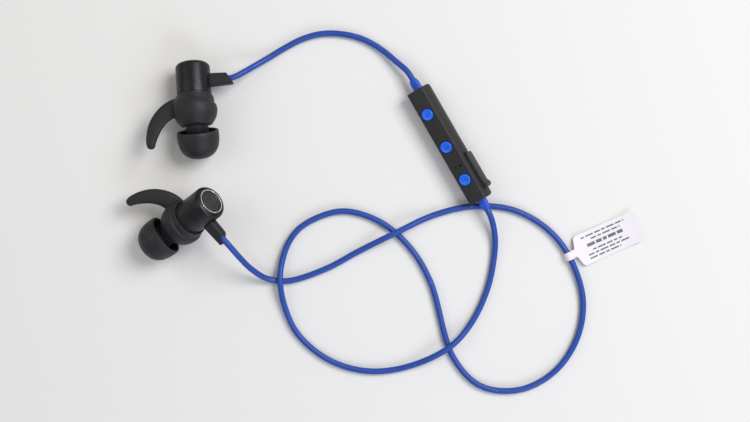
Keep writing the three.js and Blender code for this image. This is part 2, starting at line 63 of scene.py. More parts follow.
MM = 0.001
ROUND = 96  # segments round an earbud
GAP = 0.1  # between pieces that touch, in mm

joints = {joint["name"]: joint for joint in frame["joints"]}
mounts = {mount["name"]: mount for mount in frame["record"]["mounts"]}

# ---------- camera, straight above the earphones ----------
LENS = 70
CAMERA_HEIGHT = 0.5104
VIEW_CENTRE = (0.02251, -0.0174)

camera_data = bpy.data.cameras.new("camera")
camera_data.lens = LENS
camera_data.sensor_width = 36
camera = bpy.data.objects.new("camera", camera_data)
camera.location = (*VIEW_CENTRE, CAMERA_HEIGHT)
bpy.context.scene.collection.objects.link(camera)
bpy.context.scene.camera = camera


# ---------- materials ----------
class Finish:
    """A Principled material with helpers for procedural colour, roughness and bump."""

    def __init__(self, name, colour, roughness, metallic=0.0, **sockets):
        self.material = bpy.data.materials.new(name)
        self.material.use_nodes = True
        self.tree = self.material.node_tree
        self.shader = self.tree.nodes["Principled BSDF"]
        self.colour = (*colour, 1)
        self.shader.inputs["Base Color"].default_value = self.colour
        self.shader.inputs["Roughness"].default_value = roughness
        self.shader.inputs["Metallic"].default_value = metallic
        for socket, value in sockets.items():
            self.shader.inputs[socket.replace("_", " ")].default_value = value
        self.place = self.node("ShaderNodeTexCoord").outputs["Object"]
        self.normal = None

    def node(self, kind, **values):
        made = self.tree.nodes.new(kind)
        for key, value in values.items():
            setattr(made, key, value)
        return made

    def link(self, output, socket):
        self.tree.links.new(output, socket)

    def noise(self, size_mm, detail=3, stretch=(1, 1, 1)):
        """Noise whose grains are about size_mm across, longer along an axis where stretch is more than 1."""
        mapping = self.node("ShaderNodeMapping")
        mapping.inputs["Scale"].default_value = [1 / (size_mm * MM * s) for s in stretch]
        self.link(self.place, mapping.inputs["Vector"])
        noise = self.node("ShaderNodeTexNoise")
        noise.inputs["Scale"].default_value = 1
        noise.inputs["Detail"].default_value = detail
        self.link(mapping.outputs["Vector"], noise.inputs["Vector"])
        return noise.outputs["Fac"]

    def specks(self, size_mm, share):
        """Small separate dots: 1 inside a dot, 0 outside, covering about share of the cells."""
        cells = self.node("ShaderNodeTexVoronoi")
        cells.inputs["Scale"].default_value = 1 / (size_mm * MM)
        self.link(self.place, cells.inputs["Vector"])
        dots = self.ramp(cells.outputs["Distance"], 0.12, 0.2, 1, 0)
        chosen = self.node("ShaderNodeSeparateColor")
        self.link(cells.outputs["Color"], chosen.inputs["Color"])
        picked = self.ramp(chosen.outputs["Red"], 1 - share - 0.02, 1 - share, 0, 1)
        return self.math("MULTIPLY", dots, picked)

    def ramp(self, value, low, high, out_low, out_high):
        ramp = self.node("ShaderNodeMapRange")
        sockets = ("From Min", "From Max", "To Min", "To Max")
        for socket, number in zip(sockets, (low, high, out_low, out_high)):
            ramp.inputs[socket].default_value = number
        self.link(value, ramp.inputs["Value"])
        return ramp.outputs["Result"]

    def math(self, operation, a, b):
        node = self.node("ShaderNodeMath", operation=operation)
        for socket, value in zip(node.inputs, (a, b)):
            if isinstance(value, (int, float)):
                socket.default_value = value
            else:
                self.link(value, socket)
        return node.outputs["Value"]

    def axis_value(self, radial):
        """The distance from the local Y axis if radial, or else along it, in metres."""
        parts = self.node("ShaderNodeSeparateXYZ")
        self.link(self.place, parts.inputs["Vector"])
        if not radial:
            return parts.outputs["Y"]
        squares = [self.math("MULTIPLY", parts.outputs[k], parts.outputs[k]) for k in ("X", "Z")]
        return self.math("SQRT", self.math("ADD", *squares), 0)

    def turned(self, pitch_mm, radial=False):
        """Fine lathe marks: noise that changes only along the axis, or only with the radius."""
        along = self.math("MULTIPLY", self.axis_value(radial), 1 / (pitch_mm * MM))
        noise = self.node("ShaderNodeTexNoise", noise_dimensions="1D")
        noise.inputs["Scale"].default_value = 1
        noise.inputs["Detail"].default_value = 4
        self.link(along, noise.inputs["W"])
        return noise.outputs["Fac"]

    def tint(self, amount, colour):
        """Mixes the base colour towards another where amount is high."""
        mix = self.node("ShaderNodeMix", data_type="RGBA")
        before = self.shader.inputs["Base Color"]
        if before.is_linked:
            self.link(before.links[0].from_socket, mix.inputs["A"])
        else:
            mix.inputs["A"].default_value = self.colour
        mix.inputs["B"].default_value = (*colour, 1)
        self.link(amount, mix.inputs["Factor"])
        self.link(mix.outputs["Result"], before)
        return self

    def gloss(self, value, low, high):
        """Roughness from low to high as value goes over the middle of its range."""
        self.link(self.ramp(value, 0.3, 0.7, low, high), self.shader.inputs["Roughness"])
        return self

    def bump(self, height, depth_mm, strength=1.0):
        bump = self.node("ShaderNodeBump")
        bump.inputs["Distance"].default_value = depth_mm * MM
        bump.inputs["Strength"].default_value = strength
        self.link(height, bump.inputs["Height"])
        if self.normal is not None:
            self.link(self.normal, bump.inputs["Normal"])
        self.normal = bump.outputs["Normal"]
        self.link(self.normal, self.shader.inputs["Normal"])
        return self


def anodised_metal():
    look = Finish("anodised_metal", (0.036, 0.034, 0.038), 0.38, 0.9)
    marks = look.turned(0.09)
    look.gloss(look.noise(2.5), 0.33, 0.45)
    look.tint(look.ramp(look.noise(6), 0.45, 0.8, 0, 0.5), (0.05, 0.045, 0.044))
    look.tint(look.specks(0.9, 0.04), (0.2, 0.2, 0.21))
    return look.bump(marks, 0.006, 0.5).bump(look.noise(0.12), 0.004, 0.5).material


def cap_metal():
    look = Finish("cap_metal", (0.075, 0.072, 0.075), 0.25, 1.0)
    look.gloss(look.turned(0.2, radial=True), 0.18, 0.32)
    return look.bump(look.turned(0.1, radial=True), 0.05, 1.0).material


def bright_ring():
    look = Finish("bright_ring", (0.86, 0.87, 0.9), 0.14, 1.0)
    look.gloss(look.noise(0.8), 0.1, 0.22)
    return look.bump(look.turned(0.05, radial=True), 0.002, 0.5).material


def silicone():
    look = Finish("silicone", (0.0085, 0.0084, 0.0112), 0.62, 0.0, Sheen_Weight=0.03, Sheen_Roughness=0.4)
    look.gloss(look.noise(3.5), 0.5, 0.66)
    look.tint(look.ramp(look.noise(4, 4), 0.45, 0.75, 0, 0.6), (0.013, 0.013, 0.018))
    look.tint(look.specks(0.7, 0.06), (0.1, 0.1, 0.11))
    return look.bump(look.noise(0.12, 2), 0.012, 0.5).bump(look.noise(1.6), 0.03, 0.3).material


def housing_plastic():
    look = Finish("housing_plastic", (0.017, 0.0155, 0.0168), 0.5)
    look.gloss(look.noise(5), 0.42, 0.56)
    look.tint(look.ramp(look.noise(7, 4), 0.45, 0.75, 0, 0.6), (0.024, 0.0225, 0.0245))
    look.tint(look.specks(0.8, 0.04), (0.11, 0.11, 0.115))
    return look.bump(look.noise(0.16, 2), 0.016, 0.7).material


def cord_jacket():
    look = Finish("cord_jacket", (0.009, 0.058, 0.34), 0.46, 0.0, Sheen_Weight=0.02)
    look.gloss(look.noise(6), 0.36, 0.52)
    look.tint(look.ramp(look.noise(9, 4), 0.4, 0.8, 0, 0.7), (0.013, 0.07, 0.38))
    look.tint(look.specks(1.1, 0.05), (0.16, 0.25, 0.5))
    return look.bump(look.noise(0.2, 2), 0.012, 0.6).bump(look.noise(2.2), 0.05, 0.35).material


def relief_rubber():
    look = Finish("relief_rubber", (0.012, 0.084, 0.58), 0.45)
    look.gloss(look.noise(1.5), 0.38, 0.54)
    look.tint(look.ramp(look.noise(2), 0.45, 0.75, 0, 0.6), (0.02, 0.11, 0.66))
    return look.bump(look.noise(0.14), 0.012, 0.6).material


def button_plastic():
    look = Finish("button_plastic", (0.009, 0.145, 0.86), 0.33, 0.0, Coat_Weight=0.15)
    look.gloss(look.noise(1.2), 0.28, 0.42)
    look.tint(look.ramp(look.noise(2.4), 0.45, 0.75, 0, 0.5), (0.016, 0.18, 0.92))
    return look.bump(look.noise(0.1), 0.006, 0.6).material


def paper():
    look = Finish("paper", (0.83, 0.79, 0.82), 0.62)
    look.gloss(look.noise(2), 0.5, 0.7)
    look.tint(look.ramp(look.noise(5, 5), 0.45, 0.75, 0, 0.5), (0.76, 0.74, 0.76))
    fibres = look.noise(0.12, 4, (1, 5, 1))
    return look.bump(fibres, 0.01, 0.5).bump(look.noise(4), 0.12, 0.3).material


def ink():
    look = Finish("ink", (0.12, 0.12, 0.14), 0.5)
    look.tint(look.ramp(look.noise(0.15), 0.5, 0.8, 0, 0.7), (0.3, 0.3, 0.32))
    return look.bump(look.noise(0.1), 0.004, 0.5).material


def bare_metal():
    look = Finish("bare_metal", (0.6, 0.61, 0.63), 0.3, 1.0)
    look.gloss(look.noise(1.5), 0.22, 0.42)
    return look.bump(look.noise(0.08, 3, (1, 12, 1)), 0.004, 0.6).material


def mesh_metal():
    """The nozzle's fine woven screen."""
    look = Finish("mesh_metal", (0.3, 0.3, 0.31), 0.35, 1.0)
    waves = []
    for direction in ("X", "Z"):
        wave = look.node("ShaderNodeTexWave", bands_direction=direction)
        wave.inputs["Scale"].default_value = 0.32 / (0.22 * MM)
        look.link(look.place, wave.inputs["Vector"])
        waves.append(wave.outputs["Fac"])
    weave = look.math("MULTIPLY", *waves)
    look.tint(look.ramp(weave, 0.25, 0.5, 0, 1), (0.01, 0.01, 0.01))
    return look.bump(weave, -0.05, 0.8).material


def circuit_board():
    look = Finish("circuit_board", (0.01, 0.09, 0.03), 0.4)
    look.tint(look.specks(0.9, 0.35), (0.7, 0.5, 0.15))
    return look.bump(look.noise(0.3), 0.02).material


def gilt():
    look = Finish("gilt", (0.8, 0.56, 0.2), 0.3, 1.0)
    look.gloss(look.noise(0.8), 0.2, 0.4)
    return look.bump(look.noise(0.1), 0.003).material


def foil_pouch():
    look = Finish("foil_pouch", (0.5, 0.52, 0.55), 0.35, 0.7)
    look.gloss(look.noise(1.5), 0.25, 0.45)
    return look.bump(look.noise(1.2), 0.05, 0.5).material


def film():
    look = Finish("film", (0.6, 0.4, 0.2), 0.25)
    look.tint(look.noise(1), (0.66, 0.46, 0.24))
    return look.bump(look.turned(0.25, radial=True), 0.02).material


def clear_lens():
    look = Finish("clear_lens", (0.012, 0.012, 0.014), 0.2)
    look.gloss(look.noise(0.4), 0.1, 0.25)
    return look.bump(look.noise(0.2), 0.002).material


def floor_paint():
    look = Finish("floor_paint", (0.8, 0.79, 0.765), 0.8)
    return look.bump(look.noise(1.5), 0.01, 0.2).material


LOOKS = {
    make.__name__: make()
    for make in (
        anodised_metal,
        cap_metal,
        bright_ring,
        silicone,
        housing_plastic,
        cord_jacket,
        relief_rubber,
        button_plastic,
        paper,
        ink,
        bare_metal,
        mesh_metal,
        circuit_board,
        gilt,
        foil_pouch,
        film,
        clear_lens,
        floor_paint,
    )
}


# ---------- meshes ----------
def build(name, points, faces):
    """A new object from points in mm, with its faces turned outwards."""
    mesh = bpy.data.meshes.new(name)
    mesh.from_pydata([tuple(p) for p in points], [], faces)
    work = bmesh.new()
    work.from_mesh(mesh)
    bmesh.ops.recalc_face_normals(work, faces=work.faces)
    work.to_mesh(mesh)
    work.free()
    made = bpy.data.objects.new(name, mesh)
    bpy.context.scene.collection.objects.link(made)
    return made


def apply_modifiers(target):
    graph = bpy.context.evaluated_depsgraph_get()
    mesh = bpy.data.meshes.new_from_object(target.evaluated_get(graph))
    target.modifiers.clear()
    target.data = mesh
    return target


def combine(target, tool, operation="DIFFERENCE"):
    """Joins on, cuts away or keeps the common part, and removes the tool."""
    modifier = target.modifiers.new("combine", "BOOLEAN")
    modifier.operation = operation
    modifier.solver = "EXACT"
    modifier.object = tool
    apply_modifiers(target)
    bpy.data.objects.remove(tool)
    return target


def arc(cx, cy, radius, start, end, steps):
    angles = [math.radians(start + (end - start) * i / steps) for i in range(steps + 1)]
    return [(cx + radius * math.cos(a), cy + radius * math.sin(a)) for a in angles]


def bezier(points, steps):
    a, b, c, d = (Vector(p) for p in points)
    made = []
    for i in range(steps + 1):
        t = i / steps
        made.append(a * (1 - t) ** 3 + 3 * b * t * (1 - t) ** 2 + 3 * c * t * t * (1 - t) + d * t**3)
    return [tuple(p) for p in made]


def lathe(name, profile, segments=ROUND):
    """Revolves (radius, y) pairs about Y. The profile closes on itself unless it ends on the axis."""
    rings, points = [], []
    for radius, y in profile:
        if radius < 1e-6:
            rings.append([len(points)])
            points.append((0, y, 0))
            continue
        rings.append(list(range(len(points), len(points) + segments)))
        for k in range(segments):
            a = 2 * math.pi * k / segments
            points.append((radius * math.cos(a), y, radius * math.sin(a)))
    on_axis = profile[0][0] < 1e-6 and profile[-1][0] < 1e-6
    pairs = list(zip(rings, rings[1:])) + ([] if on_axis else [(rings[-1], rings[0])])
    faces = []
    for a, b in pairs:
        for k in range(segments):
            corners = [a[k % len(a)], a[(k + 1) % len(a)], b[(k + 1) % len(b)], b[k % len(b)]]
            unique = list(dict.fromkeys(corners))
            if len(unique) > 2:
                faces.append(unique)
    return build(name, points, faces)


def loft(name, sections):
    """Skins closed rings that have the same number of points, and closes both ends."""
    count = len(sections[0])
    points = [p for section in sections for p in section]
    faces = []
    for i in range(len(sections) - 1):
        for k in range(count):
            n = (k + 1) % count
            faces.append([i * count + k, i * count + n, (i + 1) * count + n, (i + 1) * count + k])
    faces.append(list(range(count)))
    faces.append(list(range(len(points) - count, len(points))))
    return build(name, points, faces)


def block(name, x0, x1, y0, y1, z0, z1):
    """A cutting tool with square sides."""
    return loft(name, [[(x, y0, z0), (x, y1, z0), (x, y1, z1), (x, y0, z1)] for x in (x0, x1)])


def rounded_ring(width, height, radius, steps=6):
    """A rounded rectangle as (a, b) points."""
    x, y = width / 2 - radius, height / 2 - radius
    corners = [(x, y, 0), (-x, y, 90), (-x, -y, 180), (x, -y, 270)]
    return [p for cx, cy, start in corners for p in arc(cx, cy, radius, start, start + 90, steps)]


def soften(target, width, segments=3, angle=30):
    """Rounds the edges of a simple shape."""
    modifier = target.modifiers.new("soften", "BEVEL")
    modifier.width = width
    modifier.segments = segments
    modifier.limit_method = "ANGLE"
    modifier.angle_limit = math.radians(angle)
    return apply_modifiers(target)


def turn(target, matrix):
    target.data.transform(matrix)
    return target


def set_down(target, place, look, body, slot, *nodes):
    """Scales a shape from mm to metres, puts it at its part's place and gives it its finish and its body."""
    target.data.transform(Matrix.Scale(MM, 4))
    target.data.shade_smooth()
    target.data.set_sharp_from_angle(angle=math.radians(38))
    target.data.materials.clear()
    target.data.materials.append(LOOKS[look])
    target.matrix_world = place
    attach(target, body)
    if nodes:
        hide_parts(*nodes)
    return target


# ---------- cords ----------
# Routes in metres. The upper one runs from the right earbud's arm to the remote in one low arch.
ORIGIN_SHIFT = Vector((0.00081, -0.00016, 0))
CORD_DIAMETER = 0.0021
LIE = 0.0012  # height of the cord's middle where it lies on the surface
OVER = 0.00335  # and where it passes over itself

UPPER_ROUTE = [
    (-0.03002, 0.02838, 0.00703),
    (-0.0286, 0.02858, 0.00703),
    (-0.0269, 0.02905, 0.0069),
    (-0.0242, 0.0305, 0.006),
    (-0.02, 0.0333, 0.0034),
    (-0.0154, 0.0362, 0.0017),
    (-0.0094, 0.0399, LIE),
    (-0.0032, 0.043, LIE),
    (0.0036, 0.0447, LIE),
    (0.0106, 0.0445, LIE),
    (0.0173, 0.0428, LIE),
    (0.0235, 0.0394, 0.0015),
    (0.0288, 0.035, 0.0027),
    (0.033, 0.0311, 0.004),
    (0.035, 0.028, 0.0044),
]

# From the remote's lower end, through two loops, to the left earbud's arm.
LOWER_ROUTE = [
    (0.0604, -0.0162, 0.0044),
    (0.0619, -0.0193, 0.0042),
    (0.0632, -0.024, 0.0028),
    (0.0636, -0.03, 0.0014),
    (0.0612, -0.0437, LIE),
    (0.0553, -0.0564, 0.0015),
    (0.0474, -0.0648, OVER),
    (0.0326, -0.0717, LIE),
    (0.0188, -0.0731, LIE),
    (0.0055, -0.0692, LIE),
    (-0.0052, -0.0603, LIE),
    (-0.0098, -0.0505, 0.0018),
    (-0.0113, -0.0418, OVER),
    (-0.0107, -0.035, 0.0019),
    (-0.008, -0.0275, LIE),
    (-0.003, -0.022, LIE),
    (0.0099, -0.0173, LIE),
    (0.0232, -0.0209, LIE),
    (0.0338, -0.0299, LIE),
    (0.041, -0.0418, LIE),
    (0.0491, -0.0685, LIE),
    (0.0587, -0.0784, LIE),
    (0.0723, -0.0796, LIE),
    (0.0845, -0.0732, LIE),
    (0.0923, -0.0616, LIE),
    (0.0943, -0.0479, LIE),
    (0.0894, -0.033, 0.0016),
    (0.0818, -0.0235, LIE),
    (0.0697, -0.0168, LIE),
    (0.0558, -0.0156, LIE),
    (0.0422, -0.0187, 0.0013),
    (0.0286, -0.025, OVER),
    (0.016, -0.0313, 0.0013),
    (0.0048, -0.0373, LIE),
    (-0.0085, -0.0416, 0.0013),
    (-0.0155, -0.0409, 0.0026),
    (-0.0208, -0.0374, 0.0072),
    (-0.0246, -0.033, 0.0128),
    (-0.0278, -0.0289, 0.0161),
    (-0.03092, -0.02545, 0.01596),
]


def smooth_route(route, steps=10):
    """The centripetal Catmull-Rom curve through the route's points."""
    points = [Vector(p) + ORIGIN_SHIFT for p in route]
    padded = [2 * points[0] - points[1], *points, 2 * points[-1] - points[-2]]
    made = []
    for p0, p1, p2, p3 in zip(padded, padded[1:], padded[2:], padded[3:]):
        d0, d1, d2 = ((b - a).length ** 0.5 for a, b in ((p0, p1), (p1, p2), (p2, p3)))
        leave = ((p1 - p0) / d0 - (p2 - p0) / (d0 + d1) + (p2 - p1) / d1) * d1
        arrive = ((p2 - p1) / d1 - (p3 - p1) / (d1 + d2) + (p3 - p2) / d2) * d1
        for i in range(steps):
            t = i / steps
            h1 = 2 * t**3 - 3 * t**2 + 1
            h2 = t**3 - 2 * t**2 + t
            h3 = t**3 - t**2
            made.append(p1 * h1 + leave * h2 + p2 * (1 - h1) + arrive * h3)
    return [*made, points[-1]]


def make_cord(name, route, node):
    path = smooth_route(route)
    curve = bpy.data.curves.new(name, "CURVE")
    curve.dimensions = "3D"
    curve.bevel_depth = CORD_DIAMETER / 2
    curve.bevel_resolution = 5
    curve.use_fill_caps = True
    spline = curve.splines.new("POLY")
    spline.points.add(len(path) - 1)
    for point, place in zip(spline.points, path):
        point.co = (*place, 1)
    spline.use_smooth = True
    curve.materials.append(LOOKS["cord_jacket"])
    made = bpy.data.objects.new(name, curve)
    bpy.context.scene.collection.objects.link(made)
    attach(made, "earphones")
    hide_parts(node)
    return made, path


# ---------- paper tag ----------
TAG_CENTRE = Vector((0.0894, -0.033, 0.0016)) + ORIGIN_SHIFT
TAG_TURN = math.radians(24)
TAG_LOOP = 1.55
TAG_BAND = 2.8
TAG_LEAF = (3.45, 26.4)
TAG_WIDTH = 11
TAG_THICK = 0.22
TAG_FLOOR = 0.4 - 1.6  # height of the leaf's lowest stretch, from the loop's middle


def leaf_height(x, y):
    """The leaf runs down from the loop, lies almost flat and curls a little at its far corners."""
    fall = min(1.0, max(0.0, (x - TAG_LOOP) / 9))
    eased = fall * fall * (3 - 2 * fall)
    curl = 1.1 * max(0.0, (x - 15) / 11.4) ** 2 * (0.55 + 0.45 * (y / (TAG_WIDTH / 2)) ** 2)
    return TAG_FLOOR * eased + curl


def leaf_half_width(x):
    """Half the leaf's width at x: a narrow neck, and then a rectangle with round corners."""
    start, end = TAG_LEAF
    corner = 1.5
    if x < start - 0.8:
        return TAG_BAND / 2
    if x < start:
        return TAG_BAND / 2 + (TAG_WIDTH / 2 - corner - TAG_BAND / 2) * (x - start + 0.8) / 0.8
    edge = min(x - start, end - x)
    if edge >= corner:
        return TAG_WIDTH / 2
    return TAG_WIDTH / 2 - corner + math.sqrt(max(0.0, corner**2 - (corner - edge) ** 2))


def sheet_over(name, xs, half_width, lift, thick, across=12, middle=0.0):
    """A thin closed sheet that follows the leaf."""
    count = across + 1
    points = []
    for side in (1, -1):
        for x in xs:
            for k in range(count):
                y = middle + half_width(x) * (2 * k / across - 1)
                points.append((x, y, leaf_height(x, y) + lift + side * thick / 2))
    faces = []
    layer = len(xs) * count
    for i in range(len(xs) - 1):
        for k in range(across):
            a = i * count + k
            faces.append([a, a + 1, a + count + 1, a + count])
            faces.append([layer + v for v in faces[-1]])
    rim = [i * count for i in range(len(xs))] + [(len(xs) - 1) * count + k for k in range(1, count)]
    rim += [i * count + across for i in reversed(range(len(xs) - 1))] + list(reversed(range(1, across)))
    for a, b in zip(rim, rim[1:] + rim[:1]):
        faces.append([a, b, layer + b, layer + a])
    return build(name, points, faces)


def tag_place():
    return Matrix.Translation(TAG_CENTRE) @ Matrix.Rotation(TAG_TURN, 4, "Z")


def make_tag():
    start, end = TAG_LEAF
    corner_steps = [start + 1.5 * (1 - math.cos(math.radians(a))) for a in range(0, 91, 15)]
    body_steps = [start + 1.5 + (end - start - 3) * i / 26 for i in range(1, 26)]
    end_steps = [end + start - x for x in reversed(corner_steps)]
    xs = [TAG_LOOP - 0.15, start - 1.2, start - 0.8, *corner_steps, *body_steps, *end_steps]
    leaf = sheet_over("paper_tag", xs, leaf_half_width, 0, TAG_THICK)
    outer = arc(0, 0, TAG_LOOP, 0, 360, 40)[:-1]
    inner = arc(0, 0, TAG_LOOP - TAG_THICK, 0, 360, 40)[:-1]
    points, faces = [], []
    for ring in (outer, inner):
        for y in (-TAG_BAND / 2, TAG_BAND / 2):
            points += [(x, y, z) for x, z in ring]
    for k in range(40):
        n = (k + 1) % 40
        for a, b in ((0, 40), (80, 120), (0, 80), (40, 120)):
            faces.append([a + k, a + n, b + n, b + k])
    combine(leaf, build("loop", points, faces), "UNION")
    set_down(leaf, tag_place(), "paper", "earphones", "label", "cord_tag")
    return leaf


def make_tag_print():
    """Rows of plain bars where a label has its print."""
    rows = [
        (3.9, 6.2, 22.5, 0.5),
        (2.5, 9.5, 20.5, 0.5),
        (0.7, 7.4, 21.4, 1.1),
        (-1.3, 8.8, 19.8, 0.5),
        (-2.6, 6.6, 22.2, 0.5),
        (-3.9, 6.6, 18.4, 0.5),
    ]
    bars = []
    for row, (y, x0, x1, height) in enumerate(rows):
        x = x0
        step = 0
        while x < x1:
            length = 1.3 + 0.8 * ((step * 2 + row) % 3)
            stop = min(x + length, x1)
            stations = [x, (x + stop) / 2, stop]
            bar = sheet_over("bar", stations, lambda _, h=height: h / 2, TAG_THICK / 2 + 0.02, 0.03, 2, y)
            bars.append(bar)
            x = stop + 0.55
            step += 1
    first = bars[0]
    first.name = "paper_tag_print"
    chosen = {"active_object": first, "selected_editable_objects": bars, "selected_objects": bars}
    with bpy.context.temp_override(**chosen):
        bpy.ops.object.join()
    return set_down(first, tag_place(), "ink", "earphones", "label")


# ---------- earbuds ----------
BARREL_RADIUS = 5.95
BARREL_WALL = 0.85
REAR = -16.5
FRONT = -5.0
SHOULDER = 1.5
NOZZLE_BEND = 25
NOZZLE_RADIUS = 2.75
NOZZLE_END = 11.5
NECK_RADIUS = 3.9  # the nozzle's thick foot
NECK_END = 7.7
ARM_Y = -10.1


def bud_place(side):
    """The earbud's frame: origin where the wing turns, +Y towards the ear and +X along the cable arm."""
    wing = joints[f"{side}_wing_turn"]
    forward = -Vector(wing["axis"]).normalized()
    across = Vector((forward.y, -forward.x, 0)).normalized()
    arm = -across
    rotation = Matrix((arm, forward, arm.cross(forward))).transposed().to_4x4()
    return Matrix.Translation(wing["pos_m"]) @ rotation


def along_nozzle(target, bend):
    return turn(target, Matrix.Rotation(math.radians(bend), 4, "X"))


def make_barrel(name):
    inner = BARREL_RADIUS - BARREL_WALL
    rear = REAR + 0.1
    profile = [
        (inner, FRONT - GAP),
        (BARREL_RADIUS - 0.15, FRONT - GAP),
        *arc(BARREL_RADIUS - 0.15, FRONT - GAP - 0.15, 0.15, 60, 0, 3),
        (BARREL_RADIUS, -9),
        (BARREL_RADIUS, -13),
        *arc(BARREL_RADIUS - SHOULDER, rear + SHOULDER, SHOULDER, 0, -90, 14),
        (inner - 0.62, rear),
        (inner - 0.62, rear + 0.5),
        (inner, rear + SHOULDER),
    ]
    barrel = lathe(name, profile)
    return combine(barrel, block("slot", 3, 8, ARM_Y - 1.7, ARM_Y + 1.7, -1.3, 1.3))


def make_trim_ring(name):
    inner, outer = 4.05, BARREL_RADIUS - BARREL_WALL - 0.7
    profile = [
        (inner, REAR + 1.3),
        (inner, REAR + 0.12),
        (inner + 0.06, REAR + 0.02),
        (inner + 0.12, REAR),
        (outer - 0.1, REAR),
        (outer - 0.03, REAR + 0.03),
        (outer, REAR + 0.1),
        (outer, REAR + 1.3),
    ]
    return lathe(name, profile)


def make_back_cap(name):
    """A dished disc with a fine step near its edge."""
    face = REAR + 0.15
    profile = [
        (0, face + 0.08),
        (1.5, face + 0.07),
        (2.6, face + 0.05),
        (3.45, face + 0.03),
        (3.5, face + 0.09),
        (3.56, face + 0.02),
        (3.8, face),
        (3.9, face + 0.04),
        (3.95, face + 0.15),
        (3.95, face + 1.3),
        (4.7, face + 1.3),
        (4.7, face + 2),
        (0, face + 2),
    ]
    return lathe(name, profile)


def make_front_housing(name, bend):
    """A collar inside the barrel, a round nose and the nozzle with its thick neck."""
    spigot = BARREL_RADIUS - BARREL_WALL - GAP
    nose = [(0, FRONT - 1.5), (spigot, FRONT - 1.5), (spigot, FRONT), (BARREL_RADIUS, FRONT)]
    body = lathe(name, [*nose, *arc(0, 0, BARREL_RADIUS, 0, 90, 24)[:-1], (0, BARREL_RADIUS)])
    nozzle = [
        (0, 3),
        (NECK_RADIUS, 3),
        (NECK_RADIUS, NECK_END - 0.2),
        (NECK_RADIUS - 0.15, NECK_END),
        (NOZZLE_RADIUS, NECK_END),
        (NOZZLE_RADIUS, NOZZLE_END - 0.3),
        (NOZZLE_RADIUS - 0.3, NOZZLE_END),
        (0, NOZZLE_END),
    ]
    combine(body, along_nozzle(lathe("nozzle", nozzle), bend), "UNION")
    hollow = 4.4
    combine(body, lathe("cavity", [(0, FRONT - 3), (hollow, FRONT - 3), (hollow, 0), (2, 3), (0, 3)]))
    channel, seat = 1.8, 2.2
    ledge = NOZZLE_END - 0.6
    bore = [(0, 1), (channel, 1), (channel, ledge), (seat, ledge), (seat, 13), (0, 13)]
    return combine(body, along_nozzle(lathe("bore", bore), bend))


def make_ear_tip(name, bend):
    """A soft dome on a stem, hollow behind, with the faint seam of its mould."""
    rim, end, radius, mouth, skirt = 7.4, 16.8, 7.25, 2.1, 0.75
    stem_outer, stem_inner = 3.8, 2.9
    edge = [(radius, rim + 1.8), (radius, rim + 6.4), (mouth + 3.4, end - 0.9), (mouth + 0.9, end)]
    dome = bezier(edge, 30)
    seam = 10  # the point of the dome where the seam runs round
    r, y = dome[seam]
    dome[seam : seam + 1] = [(r + 0.08, y - 0.12), (r + 0.09, y), (r - 0.1, y + 0.1), (r - 0.1, y + 0.2)]
    inside = bezier(
        [
            (stem_outer, rim + 7.2),
            (stem_outer + 1.6, rim + 6.9),
            (radius - skirt, rim + 5),
            (radius - skirt, rim + 1.8),
        ],
        12,
    )
    profile = [
        (mouth, end - 0.35),
        (mouth, 11.9),
        (stem_inner, 11.7),
        (stem_inner, rim + 0.8),
        (stem_inner + 0.15, rim + 0.65),
        (stem_outer - 0.15, rim + 0.65),
        (stem_outer, rim + 0.8),
        *inside,
        (radius - skirt - 0.05, rim + 0.25),
        (radius - skirt + 0.1, rim + 0.05),
        (radius - 0.35, rim),
        (radius - 0.15, rim + 0.08),
        (radius - 0.04, rim + 0.3),
        *dome,
        (mouth + 0.5, end + 0.02),
        (mouth + 0.2, end - 0.04),
        (mouth + 0.05, end - 0.15),
    ]
    return along_nozzle(lathe(name, profile), bend)


FIN_OUTER = (
    [(-5.2, -4.5), (-10, -4.5), (-15.4, 0), (-17, 5.4)],
    [(-17, 5.4), (-17.7, 8), (-18, 9.8), (-17.6, 11.2)],
)
FIN_INNER = [(-14.6, 10.8), (-13.2, 7.6), (-11.4, 3.9), (-7.6, 2.4)]
FIN_ROOT_X = -5.2
WING_TURN = 20  # how far the front opening is drawn out both ways, so the sleeve turns round the bent neck


def oval(middle, across, half_width, half_thick, count=28):
    """A soft oval across the fin, a little squarer than an ellipse."""
    ring = []
    for k in range(count):
        a = 2 * math.pi * k / count
        u = math.copysign(abs(math.cos(a)) ** 0.85, math.cos(a)) * half_width
        w = math.copysign(abs(math.sin(a)) ** 0.85, math.sin(a)) * half_thick
        ring.append((middle.x + across.x * u, middle.y + across.y * u, w))
    return ring


def fin_sections():
    """Ovals that follow the fin's outer and inner edges out to its round tip."""
    outer = bezier(FIN_OUTER[0], 18) + bezier(FIN_OUTER[1], 8)[1:]
    inner = [(FIN_ROOT_X - 0.6 * k, FIN_INNER[-1][1]) for k in range(4)]
    inner += list(reversed(bezier(FIN_INNER, 22)))
    sections = []
    for i, (a, b) in enumerate(zip(outer, inner)):
        middle, span = (Vector(a) + Vector(b)) / 2, Vector(b) - Vector(a)
        across, half, thick = span.normalized(), span.length / 2, 1.2 - 0.2 * i / len(outer)
        sections.append(oval(middle, across, half, thick))
    ahead, tip_length = Vector((-across.y, across.x)), 1.4
    for angle in (20, 40, 60, 78):
        t = math.radians(angle)
        centre = middle + ahead * math.sin(t) * tip_length
        sections.append(oval(centre, across, half * math.cos(t), thick * math.cos(t)))
    return sections


